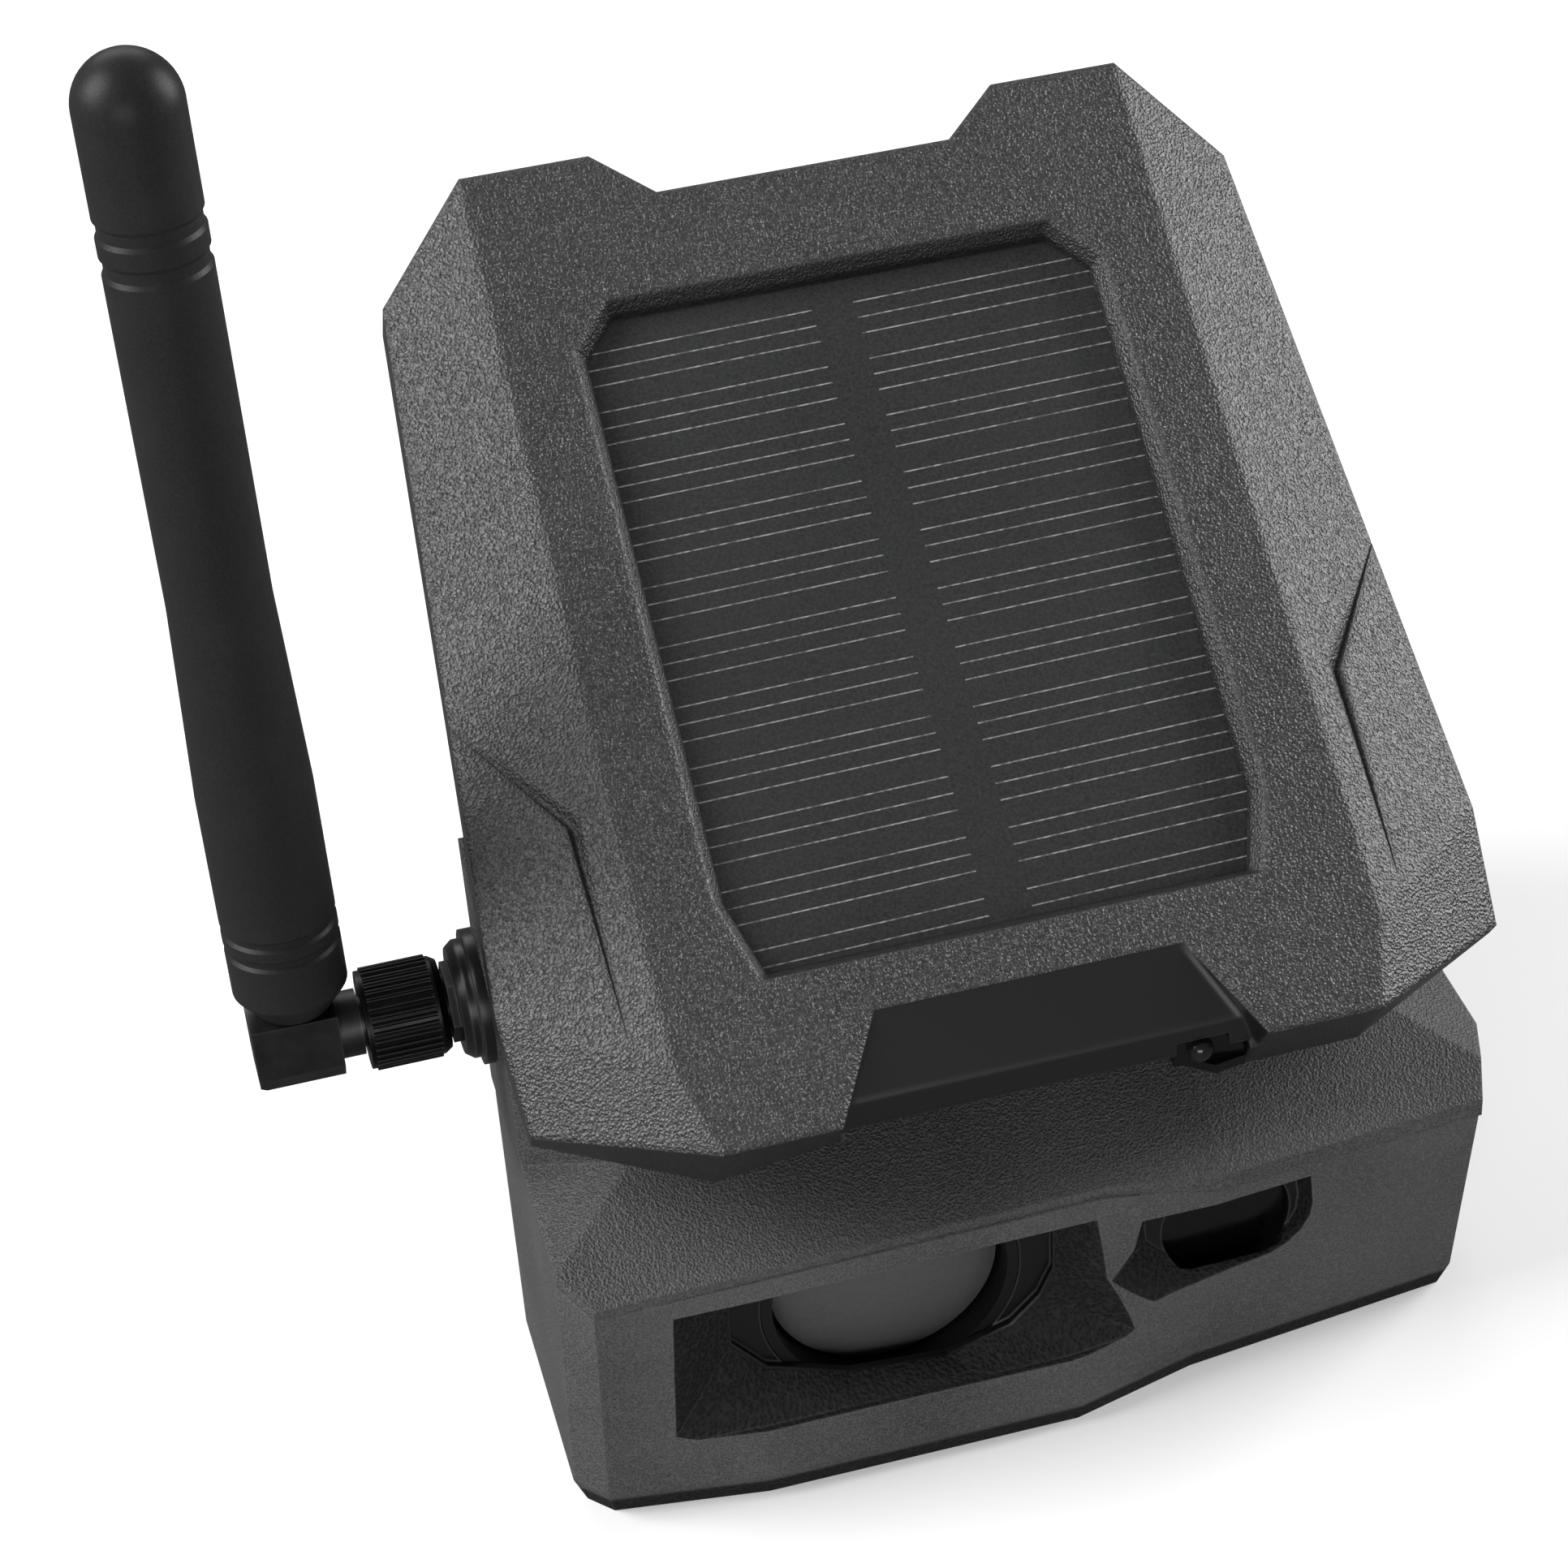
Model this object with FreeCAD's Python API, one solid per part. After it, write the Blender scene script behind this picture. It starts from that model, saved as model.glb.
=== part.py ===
import FreeCAD, Part
import math
import os

# Solar security camera. Millimetres, +Z up, the front faces -Y.
# The origin is the mouth of the tripod thread, in the middle of the flat underside.

Vec = FreeCAD.Vector

# ---------------------------------------------------------------- driving dimensions
WALL = 2.2                      # moulded wall of the three housing shells
GAP = 0.15                      # clearance between neighbouring loose pieces

# The solar roof is a tilted plane. Shapes on it are built flat, as (across, up the slope, off
# the plane), and on_roof() then tilts them into place.
ROOF_TILT = 35.0
ROOF_ORIGIN = Vec(0, -36, 53)
HOOD_DEPTH = 10.5               # skirt depth below the roof plane
HOOD_WALL = 2.0
RIDGE_BACK = (33.5, 91.4)       # corners of the right half of the hood, seen square on
RIDGE_FRONT = (34.0, 0.0)
NOSE = (31.6, -8.6)
SIDE_BACK = (43.2, 81.3)
SIDE_FRONT = (48.1, 10.0)
SIDE_NOSE = (47.3, -1.5)
SIDE_DROP = 6.5                 # how far the side facet falls between ridge and side edge
FRONT_NOTCH = [(20.4, -8.6), (14.8, 1.7)]
BACK_NOTCH = [(20.6, 91.5), (14.9, 86.3)]
WINDOW = [(22.4, 75.9), (26.6, 71.0), (26.7, 14.7), (24.2, 6.5)]
# Groove on the side facet: x, y, the direction across it towards the ridge, and its size.
GROOVE = [(47.0, 39.4, -0.82, 0.57, 0.08), (37.4, 25.4, -0.95, 0.3, 1.0), (37.2, 4.0, -1.0, 0.0, 0.08)]
GROOVE_SECTION = [(-0.85, 0.4), (-0.65, -0.85), (1.5, 0.4)]     # (across, above the facet)
PANEL_HALF_WIDTH = 29.0
PANEL_FRONT = 4.3
PANEL_BACK = 78.4
PANEL_CORNER = 5.0
CELL_ROWS = 11
HOUSING_ROOF = -12.0            # top of the housing, measured off the roof plane
HOOD_BOSSES = [(32.4, 12.0), (32.4, 70.0)]
BAR_TOP = (-6.05, -2.1)         # (up the slope, off the plane) of the front bar's face
BAR_FOOT = (-7.8, -4.6)
BAR_OPENING = 19.6              # half width of the gap in the skirt below the bar

# Front block: the wide part behind the lens face.
SIDE = 47.2
SIDE_FOOT = 48.0                # the side walls flare a little towards the foot
BLOCK_BACK_TOP = -5.0
BLOCK_BACK_SEAM = -7.0
BLOCK_BACK_FOOT = -13.0
LIP_HEIGHT = 3.5                # rounded-under lip round the foot of the front
LIP_INSET = 1.2
SEAM = 29.8                     # height of the joint between front shell and top shell
BROW_EDGE = Vec(0, -39.6, 29.0)
BROW_SLOPE = 28.0
BROW_EDGE_THICKNESS = 1.2
BROW_STEP = 0.9                 # the lens side of the brow stands this much higher
BROW_STEP_X = (5.8, 17.2)
FLANK_SLOPE = 25.0

# Rear housing.
REAR_HALF_WIDTH = 41.0
REAR_FRONT = -13.0
REAR_BACK = 36.0
REAR_CORNER = 5.0

# Sensors in the lens face: (x, z) of each axis.
PIR_AXIS = (-15.2, 20.0)
PIR_RADIUS = 11.4
PIR_BULGE = 2.2
PIR_SEAT = -33.5
PIR_TOP = 28.0
PIR_CHAMBER = 13.0
RECESS_TOP = 25.8
CAMERA_AXIS = (18.6, 19.4)
STATUS_X = 15.1
STATUS_FACE = -38.9
STATUS_TOP = 46.2

# Outlines of the front block in plan, as (x, y), from the back left corner round the front.
FOOT_FRONT = [(-SIDE_FOOT, BLOCK_BACK_FOOT), (-SIDE_FOOT, -35.8), (-45.2, -38.8), (-29.5, -41.1),
              (2.4, -41.2), (15.3, -37.9), (43.8, -34.6), (SIDE_FOOT, -25.4),
              (SIDE_FOOT, BLOCK_BACK_FOOT)]
SEAM_FRONT = [(-SIDE, BLOCK_BACK_SEAM), (-SIDE, -36.0), (-44.5, -39.6), (-29.5, -39.4), (5.8, -39.0),
              (16.8, -40.8), (43.9, -39.4), (SIDE, -30.0), (SIDE, BLOCK_BACK_SEAM)]


def round_stretch(centre, radius, start, end, steps=6):
    """Points on an arc, as (x, z), from one angle in degrees to another."""
    x, z = centre
    angles = [math.radians(start + (end - start) * k / (steps - 1)) for k in range(steps)]
    return [(x + radius * math.cos(angle), z + radius * math.sin(angle)) for angle in angles]


# Outlines of the two recesses in the lens face, as (x, z): at the face, and at their floors.
PIR_RECESS = [(-38.1, RECESS_TOP), (-38.7, 9.6), (-28.3, 9.2), (-20.0, 9.2), (-8.0, 9.1), (1.4, 9.0),
              (8.9, 10.0), (5.5, 18.3), (5.6, RECESS_TOP)]
PIR_MOUTH = [(-31.3, RECESS_TOP), (-31.4, 18.3), (-28.1, 14.1), (-20.0, 10.9), (-10.0, 10.0),
             (-3.5, 12.2), (-0.6, 15.1), (0.9, 18.4), (1.0, RECESS_TOP)]
LENS_RECESS = [(9.0, 24.6), (8.1, 21.0), (5.8, 17.8), (10.1, 12.6), (15.3, 13.2),
               *round_stretch((21.7, 20.2), 5.7, -85, 10), (26.5, 25.4)]
LENS_FLOOR = [(10.4, 24.2), (10.2, 21.4), (10.4, 19.2), (12.2, 17.2), (15.0, 15.7),
              *round_stretch((20.9, 20.3), 5.2, -100, 5), (25.6, 24.5)]
CASE_POSTS = [(-40.2, -28.5), (-40.2, -17.4), (40.2, -28.5), (40.2, -17.4)]     # (x, y) of the case screws
CASE_HOLE_TOP = 32.8
RECESS_FACE = -40.0
RECESS_FLOOR = -37.0


def at_height(points, height):
    return [Vec(x, y, height) for x, y in points]


def front_block(inset):
    """The block behind the lens face, from the foot to a little above the seam."""
    foot = inset_outline(FOOT_FRONT, inset + LIP_INSET)
    lip = inset_outline(FOOT_FRONT, inset)
    seam = inset_outline(SEAM_FRONT, inset)
    sections = [at_height(foot, inset), at_height(lip, LIP_HEIGHT + inset / 2), at_height(seam, 31.0)]
    return ruled(sections)


def above_seam(lift):
    """Everything above the joint between front shell and top shell."""
    rise = math.tan(math.radians(BROW_SLOPE))
    knee = -36.0
    base = SEAM + lift
    profile = [(knee - 14, base - 14 * rise), (knee, base), (60, base), (60, 200), (knee - 14, 200)]
    return prism_x(profile, -80, 80)

# Antenna: a right-angle whip on a threaded jack on the camera's left side.
ANTENNA_X = -65.4
ANTENNA_Y = -12.0
ANTENNA_Z = 46.4
ANTENNA_LEAN = 4.0
ANTENNA_TOP = 99.5              # tip, above the jack's axis
NUT_OUTER = -59.3
NUT_INNER = -52.2
NUT_RIBS = 36
JACK_OUTER = -56.0
BOSS_RIM = -50.4

# Rear door.
DOOR_HALF_WIDTH = 32.0
DOOR_BOTTOM = 17.0
DOOR_TOP = 63.0
DOOR_INNER = 36.8
DOOR_OUTER = 39.0
HINGE_Y = 39.0
HINGE_Z = 13.6
HINGE_R = 2.0
LATCH_Z = 56.5

# Controls and sockets in the camera's right wall: (y, z).
BUTTON_AT = (0.0, 32.0)
SOCKET_AT = (8.0, 11.0)
COVER_HINGE_Z = 20.2
COVER_HINGE_X = 42.7

# Inside.
BOARD_Z = 20.0
BOARD_POSTS = [(-34.0, -6.0), (-34.0, 28.0), (34.0, -6.0), (34.0, 28.0)]
LED_RING = 8.1                  # radius of the ring of infrared lamps round the lens
LED_COUNT = 8
MEMORY_CARD = (5.0, 11.0, 1.0, 13.0)    # middle x, width, thickness, depth in its slot
SIM_CARD = (19.2, 12.3, 0.8, 11.0)
CELL_R = 9.2
CELL_LENGTH = 65.0
CELL_Y = 18.0
CELL_HEIGHTS = (36.5, 55.5)


# ---------------------------------------------------------------- helpers
def block(x0, x1, y0, y1, z0, z1):
    return Part.makeBox(x1 - x0, y1 - y0, z1 - z0, Vec(x0, y0, z0))


def rod(radius, start, end):
    line = end - start
    return Part.makeCylinder(radius, line.Length, start, line)


def cone(radius_start, radius_end, start, end):
    line = end - start
    return Part.makeCone(radius_start, radius_end, line.Length, start, line)


def tube(outer, inner, start, end):
    return rod(outer, start, end).cut(rod(inner, start, end))


def face_of(points):
    return Part.Face(Part.makePolygon(points + [points[0]]))


def prism_z(points, low, high):
    return face_of([Vec(x, y, low) for x, y in points]).extrude(Vec(0, 0, high - low))


def prism_y(points, low, high):
    return face_of([Vec(x, low, z) for x, z in points]).extrude(Vec(0, high - low, 0))


def prism_x(points, low, high):
    return face_of([Vec(low, y, z) for y, z in points]).extrude(Vec(high - low, 0, 0))


def ruled(sections):
    """A solid whose walls run straight from each outline to the next."""
    wires = [Part.makePolygon(points + [points[0]]) for points in sections]
    return Part.makeLoft(wires, True, True)


def join(shapes):
    whole = shapes[0]
    for shape in shapes[1:]:
        whole = whole.fuse(shape)
    return whole.removeSplitter()


def keep_under(shape, point, normal):
    """Removes what lies beyond a plane, on its normal's side."""
    size = 600
    beyond = Part.makeBox(size, size, size, Vec(-size / 2, -size / 2, 0))
    beyond.Placement = FreeCAD.Placement(point, FreeCAD.Rotation(Vec(0, 0, 1), normal))
    return shape.cut(beyond)


def mirrored(shape):
    return shape.mirror(Vec(0, 0, 0), Vec(1, 0, 0))


def both_sides(half):
    """The full outline of one that is given as its right half, from back to front."""
    return half + [(-x, y) for x, y in reversed(half)]


def inset_outline(points, distance):
    """Moves each side of a convex outline inwards by a distance."""
    count = len(points)
    middle = Vec(sum(p[0] for p in points) / count, sum(p[1] for p in points) / count, 0)
    lines = []
    for index in range(count):
        start = Vec(*points[index], 0)
        end = Vec(*points[(index + 1) % count], 0)
        along = (end - start).normalize()
        inwards = Vec(-along.y, along.x, 0)
        if inwards.dot(middle - start) < 0:
            inwards = inwards * -1
        lines.append((start + inwards * distance, along))
    moved = []
    for index in range(count):
        base, along = lines[index - 1]
        other, other_along = lines[index]
        turn = along.x * other_along.y - along.y * other_along.x
        reach = ((other.x - base.x) * other_along.y - (other.y - base.y) * other_along.x) / turn
        moved.append((base.x + along.x * reach, base.y + along.y * reach))
    return moved


def on_roof(shape):
    placed = shape.copy()
    placed.rotate(Vec(0, 0, 0), Vec(1, 0, 0), ROOF_TILT)
    placed.translate(ROOF_ORIGIN)
    return placed


def under_roof(shape, depth):
    """Trims a shape to a plane parallel to the roof."""
    tilt = math.radians(ROOF_TILT)
    normal = Vec(0, -math.sin(tilt), math.cos(tilt))
    return keep_under(shape, ROOF_ORIGIN + normal * depth, normal)


def screw(head, tip, head_radius, shank_radius, head_length):
    """A pan-head screw with a cross recess; head is the outer face of its head."""
    along = (tip - head).normalize()
    seat = head + along * head_length
    solid = rod(head_radius, head, seat).fuse(rod(shank_radius, seat, tip))
    slot = block(-head_radius * 0.7, head_radius * 0.7, -0.35, 0.35, 0, head_length * 0.6)
    cross = slot.fuse(slot.copy().rotate(Vec(0, 0, 0), Vec(0, 0, 1), 90))
    cross.Placement = FreeCAD.Placement(head, FreeCAD.Rotation(Vec(0, 0, 1), along))
    return solid.cut(cross)


def export(name, pieces):
    shape = pieces[0] if len(pieces) == 1 else Part.makeCompound(pieces)
    shape.exportStep("parts/" + name + ".step")


# ---------------------------------------------------------------- hood and solar panel
def hood_solid(inset, low):
    """The hood's outer form, or with an inset the hollow inside it, open below."""
    ridge_back = Vec(*RIDGE_BACK, 0)
    ridge_front = Vec(*RIDGE_FRONT, 0)
    nose = Vec(*NOSE, 0)
    side_front = Vec(*SIDE_FRONT, -SIDE_DROP)
    side_facet = (ridge_front - ridge_back).cross(side_front - ridge_front)
    front_facet = (nose - ridge_front).cross(side_front - ridge_front)
    planes = [(ridge_front, side_facet), (ridge_front, front_facet), (nose, Vec(0, -1, 0))]
    rim = [RIDGE_BACK, SIDE_BACK, SIDE_FRONT, SIDE_NOSE, NOSE]
    for start, end in zip(rim, rim[1:]):
        planes.append((Vec(*start, 0), Vec(end[1] - start[1], start[0] - end[0], 0) * -1))
    tilt = math.radians(ROOF_TILT)
    planes.append((ridge_back, Vec(0, math.cos(tilt), -math.sin(tilt))))
    centre = Vec(0, 40, -HOOD_DEPTH)
    solid = block(-60, 60, -20, 110, low, -inset)
    for point, normal in planes:
        outward = Vec(normal).normalize()
        if outward.dot(point - centre) < 0:
            outward = outward * -1
        solid = keep_under(solid, point - outward * inset, outward)
        flipped = Vec(-outward.x, outward.y, outward.z)
        solid = keep_under(solid, Vec(-point.x, point.y, point.z) - flipped * inset, flipped)
    return solid


def window_outline(inset, level):
    half = inset_outline(both_sides(WINDOW), inset)
    return [Vec(x, y, level) for x, y in half]


def panel_outline(inset):
    edge = PANEL_HALF_WIDTH - inset
    front = PANEL_FRONT + inset
    back = PANEL_BACK - inset
    half = [(edge - PANEL_CORNER, back), (edge, back - PANEL_CORNER),
            (edge, front + PANEL_CORNER / 2), (edge - PANEL_CORNER / 2, front)]
    return both_sides(half)


def side_groove():
    """A groove on the right side facet, deepest at its bend, that marks out a raised pad.

    One side is steep, along the pad. The other slopes gently down from the ridge.
    """
    ridge = Vec(*RIDGE_FRONT, 0)
    side = Vec(*SIDE_FRONT, -SIDE_DROP)
    back = Vec(*RIDGE_BACK, 0)
    normal = (ridge - back).cross(side - ridge).normalize()
    if normal.z < 0:
        normal = normal * -1
    sections = []
    for x, y, uphill_x, uphill_y, size in GROOVE:
        off = -((x - ridge.x) * normal.x + (y - ridge.y) * normal.y) / normal.z
        uphill = Vec(uphill_x, uphill_y, 0)
        uphill = (uphill - normal * uphill.dot(normal)).normalize()
        sections.append([Vec(x, y, off) + uphill * across * size + normal * high * size
                         for across, high in GROOVE_SECTION])
    return [ruled([start, end]) for start, end in zip(sections, sections[1:])]


def roof_hood():
    outer = hood_solid(0, -HOOD_DEPTH)
    hollow = hood_solid(HOOD_WALL, -HOOD_DEPTH - 1)
    bar_block = block(-22.4, 22.4, -10, 4.0, BAR_FOOT[1], 0)
    back_block = block(-22.6, 22.6, 83.8, 96, -20, 0)
    hood = outer.cut(hollow.cut(bar_block).cut(back_block))
    hood = hood.cut(ruled([window_outline(-0.2, 0.3), window_outline(1.2, -HOOD_WALL - 0.1)]))
    hood = hood.cut(prism_z(both_sides([(24.0, 91.5 + 3.0), BACK_NOTCH[1]]), -6.0, 1))
    notch_end = FRONT_NOTCH[1][1]
    floor = [(notch_end, 1.0), (notch_end, 0.0), BAR_TOP, BAR_FOOT, (-12, BAR_FOOT[1]), (-12, 1.0)]
    notch = both_sides([FRONT_NOTCH[1], FRONT_NOTCH[0], (24.0, -15.0)])
    hood = hood.cut(prism_x(floor, -30, 30).common(prism_z(notch, -20, 2)))
    opening = block(-BAR_OPENING, BAR_OPENING, -12, -5.0, -20, BAR_FOOT[1])
    nose_taper = face_of([Vec(-BAR_OPENING, -12, BAR_FOOT[1]), Vec(-31.4, -12, -HOOD_DEPTH - 0.1),
                          Vec(-BAR_OPENING, -12, -HOOD_DEPTH - 0.1)]).extrude(Vec(0, 5.2, 0))
    hood = hood.cut(opening).cut(nose_taper)
    for cutter in side_groove():
        hood = hood.cut(cutter).cut(mirrored(cutter))
    for x, y in HOOD_BOSSES:
        for side in (-x, x):
            post = rod(2.6, Vec(side, y, -1.0), Vec(side, y, HOUSING_ROOF))
            hood = hood.fuse(post)
            hood = hood.cut(rod(1.3, Vec(side, y, -5.0), Vec(side, y, HOUSING_ROOF - 1)))
    placed = on_roof(hood.removeSplitter())
    return placed.cut(block(STATUS_X - 2.6, STATUS_X + 2.6, -45, STATUS_FACE + 2.5, 40, STATUS_TOP))


def panel_stack():
    """Gasket, clear laminate, cells and board, from the top down."""
    level = -HOOD_WALL
    gasket = prism_z(panel_outline(0), level - 0.4, level)
    gasket = gasket.cut(ruled([window_outline(-0.8, level + 0.1), window_outline(-0.8, level - 0.5)]))
    laminate = prism_z(panel_outline(0), level - 0.8, level - 0.4)
    board = prism_z(panel_outline(0), level - 2.6, level - 1.0)
    cells = []
    pitch = (PANEL_BACK - PANEL_FRONT - 7.0) / CELL_ROWS
    for row in range(CELL_ROWS):
        start = PANEL_FRONT + 3.5 + row * pitch
        for low, high in ((-25.6, -1.6), (1.6, 25.6)):
            cells.append(block(low, high, start, start + pitch - 0.3, level - 1.0, level - 0.8))
    board = board.fuse(block(-1.5, 1.5, 8, 75, level - 1.0, level - 0.8))
    return [gasket], [laminate], cells, [board.removeSplitter()]


# ---------------------------------------------------------------- housing shells
def rear_outline(inset):
    half = [(REAR_HALF_WIDTH - REAR_CORNER, REAR_BACK), (REAR_HALF_WIDTH, REAR_BACK - REAR_CORNER),
            (REAR_HALF_WIDTH, REAR_FRONT)]
    return inset_outline(both_sides(half), inset)


def rear_block(inset):
    tall = prism_z(rear_outline(inset), 2.0 + inset, 120)
    foot = ruled([at_height(rear_outline(inset + 1.5), inset), at_height(rear_outline(inset), 2.0 + inset)])
    return under_roof(tall.fuse(foot).removeSplitter(), HOUSING_ROOF - inset)


def grown(points, distance):
    return inset_outline(points, -distance)


def front_recess(outer, inner):
    """A recess whose walls funnel from an outline in the lens face to a smaller one behind."""
    front = [Vec(x, RECESS_FACE, z) for x, z in outer]
    back = [Vec(x, RECESS_FLOOR, z) for x, z in inner]
    return ruled([front, back]).fuse(prism_y(outer, RECESS_FACE - 6, RECESS_FACE))


def case_posts(low, high, radius):
    return [rod(radius, Vec(x, y, low), Vec(x, y, high)) for x, y in CASE_POSTS]


def front_shell():
    shell = front_block(0).cut(above_seam(0)).cut(rear_block(0))
    hollow = front_block(WALL)
    hollow = hollow.fuse(block(-38.8, 38.8, -20, -5, WALL, 40)).removeSplitter()
    pir_pocket = prism_y(grown(PIR_RECESS, 2.6), -50, PIR_SEAT + 3.2)
    lens_pocket = prism_y(grown(LENS_RECESS, 1.8), -50, -33.4)
    hollow = hollow.cut(pir_pocket).cut(lens_pocket)
    for post in case_posts(0, 40, 3.8):
        hollow = hollow.cut(post)
    shell = shell.cut(hollow)
    shell = shell.cut(front_recess(PIR_RECESS, PIR_MOUTH)).cut(prism_y(PIR_MOUTH, RECESS_FLOOR, -36.2))
    shell = shell.cut(pir_chamber(PIR_CHAMBER, -36.3, -20))
    shell = shell.cut(front_recess(LENS_RECESS, LENS_FLOOR))
    x, z = CAMERA_AXIS
    shell = shell.cut(rod(6.6, Vec(x, -38, z), Vec(x, -20, z)))
    for post in case_posts(-1, 40, 1.5) + case_posts(-1, 2.2, 2.7):
        shell = shell.cut(post)
    return shell.removeSplitter()


def pir_chamber(radius, front, back):
    """A round chamber on the motion sensor's axis, cut off flat below the seam."""
    x, z = PIR_AXIS
    return rod(radius, Vec(x, front, z), Vec(x, back, z)).cut(block(-60, 60, -60, 0, PIR_TOP + 0.1, 60))


def brow_cut(drop):
    """Everything above the brow's front slope, with its step up towards the lens side."""
    slope = math.radians(BROW_SLOPE)
    along = Vec(0, math.cos(slope), math.sin(slope))
    start = BROW_EDGE - along * 20 - Vec(0, 0, drop)
    low, high = BROW_STEP_X
    profile = [(-90, 0), (low, 0), (high, BROW_STEP), (90, BROW_STEP), (90, 90), (-90, 90)]
    points = [start + Vec(x, 0, z) for x, z in profile]
    return face_of(points).extrude(along * 90)


def plinth(inset):
    half = [(SIDE - inset, BLOCK_BACK_TOP - inset), (SIDE - inset, -20.0), (37.0, -28.0 + inset)]
    raised = prism_z(both_sides(half), SEAM - 3, 100)
    return under_roof(raised, HOUSING_ROOF - inset)


def upper_block(inset):
    outline = [(x, BLOCK_BACK_TOP if y == BLOCK_BACK_SEAM else y) for x, y in SEAM_FRONT]
    solid = prism_z(inset_outline(outline, inset), 20, 80).cut(brow_cut(inset * 1.05))
    flank = math.radians(FLANK_SLOPE)
    for side in (-1, 1):
        normal = Vec(side * math.sin(flank), 0, math.cos(flank))
        edge = Vec(side * SIDE, 0, SEAM + BROW_EDGE_THICKNESS)
        solid = keep_under(solid, edge - normal * inset, normal)
    return solid.fuse(plinth(inset)).removeSplitter()


def jack_boss():
    """The stepped boss on the left wall that carries the antenna jack."""
    centre = Vec(0, ANTENNA_Y, ANTENNA_Z)
    root = centre + Vec(-SIDE + 1.0, 0, 0)
    step = centre + Vec(BOSS_RIM + 0.8, 0, 0)
    rim = centre + Vec(BOSS_RIM, 0, 0)
    foot = rod(6.6, root, centre + Vec(-48.8, 0, 0))
    return foot.fuse(rod(5.8, root, step)).fuse(cone(5.8, 5.2, step, rim))


def top_shell():
    shell = upper_block(0).common(above_seam(0)).cut(rear_block(0))
    hollow = upper_block(WALL).fuse(block(-38.8, 38.8, -18, 0, 20, 48)).removeSplitter()
    hollow = under_roof(hollow, HOUSING_ROOF - WALL)
    for post in case_posts(20, 37.5, 3.8):
        hollow = hollow.cut(post)
    shell = shell.cut(hollow).fuse(jack_boss())
    axis = Vec(0, ANTENNA_Y, ANTENNA_Z)
    shell = shell.cut(rod(3.3, axis + Vec(-60, 0, 0), axis + Vec(-40, 0, 0)))
    for post in case_posts(20, CASE_HOLE_TOP, 1.3):
        shell = shell.cut(post)
    for hole in hood_screw_holes():
        shell = shell.cut(hole)
    return shell.removeSplitter()


def hood_screw_holes():
    holes = []
    for x, y in HOOD_BOSSES:
        for side in (-x, x):
            top = Vec(side, y, HOUSING_ROOF + 1)
            holes.append(on_roof(rod(1.5, top, top - Vec(0, 0, 8))))
    return holes


def door_opening():
    return block(-28, 28, 30, 40, 20, 60)


def hinge_lugs():
    lugs = []
    for low, high in ((-18.0, -12.2), (12.2, 18.0)):
        barrel = rod(HINGE_R, Vec(low, HINGE_Y, HINGE_Z), Vec(high, HINGE_Y, HINGE_Z))
        web = block(low, high, REAR_BACK - 1, HINGE_Y, HINGE_Z - HINGE_R, HINGE_Z + HINGE_R)
        lugs.append(barrel.fuse(web))
    return lugs


def cover_lugs():
    y, z = SOCKET_AT
    lugs = []
    for low in (y - 7.2, y + 5.0):
        high = low + 2.2
        barrel = rod(1.3, Vec(COVER_HINGE_X, low, COVER_HINGE_Z), Vec(COVER_HINGE_X, high, COVER_HINGE_Z))
        web = block(REAR_HALF_WIDTH - 1, COVER_HINGE_X, low, high, COVER_HINGE_Z - 1.3, COVER_HINGE_Z + 1.3)
        lugs.append(barrel.fuse(web))
    return lugs


def rear_housing():
    hollow = rear_block(WALL).fuse(block(-38.8, 38.8, -20, 0, WALL, 100))
    hollow = under_roof(hollow, HOUSING_ROOF - WALL)
    hollow = hollow.cut(rod(7.5, Vec(0, 0, 0), Vec(0, 0, 11)))
    for x, y in BOARD_POSTS:
        hollow = hollow.cut(rod(3.2, Vec(x, y, 0), Vec(x, y, BOARD_Z)))
    housing = rear_block(0).cut(hollow).cut(door_opening())
    for lug in hinge_lugs() + cover_lugs():
        housing = housing.fuse(lug)
    housing = housing.cut(rod(5.05, Vec(0, 0, -1), Vec(0, 0, 9.1)))
    housing = housing.cut(rod(6.6, Vec(0, 0, -1), Vec(0, 0, 1.2)))
    for x, y in BOARD_POSTS:
        housing = housing.cut(rod(1.1, Vec(x, y, 10), Vec(x, y, BOARD_Z + 1)))
    button_y, button_z = BUTTON_AT
    housing = housing.cut(rod(4.1, Vec(36, button_y, button_z), Vec(45, button_y, button_z)))
    socket_y, socket_z = SOCKET_AT
    housing = housing.cut(rod(4.65, Vec(36, socket_y, socket_z), Vec(45, socket_y, socket_z)))
    for hole in hood_screw_holes():
        housing = housing.cut(hole)
    axis = Vec(0, HINGE_Y, HINGE_Z)
    housing = housing.cut(rod(1.0, axis + Vec(-30, 0, 0), axis + Vec(30, 0, 0)))
    pin = Vec(COVER_HINGE_X, socket_y, COVER_HINGE_Z)
    housing = housing.cut(rod(0.6, pin + Vec(0, -12, 0), pin + Vec(0, 12, 0)))
    coax = Vec(0, ANTENNA_Y, ANTENNA_Z)
    housing = housing.cut(rod(3.4, coax + Vec(-44, 0, 0), coax + Vec(-36, 0, 0)))
    return housing.removeSplitter()


# ---------------------------------------------------------------- sensors in the lens face
def pir_lens():
    x, z = PIR_AXIS
    radius = (PIR_RADIUS ** 2 + PIR_BULGE ** 2) / (2 * PIR_BULGE)
    base = Vec(x, PIR_SEAT, z)
    ball = Part.makeSphere(radius, base + Vec(0, radius - PIR_BULGE, 0))
    inner = Part.makeSphere(radius - 0.9, base + Vec(0, radius - PIR_BULGE, 0))
    dome = ball.common(rod(PIR_RADIUS, base + Vec(0, -8, 0), base)).cut(inner)
    flange = tube(PIR_RADIUS, PIR_RADIUS - 1.6, base, base + Vec(0, 1.0, 0))
    return dome.fuse(flange).cut(block(-60, 60, -60, 0, PIR_TOP, 60)).removeSplitter()


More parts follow.
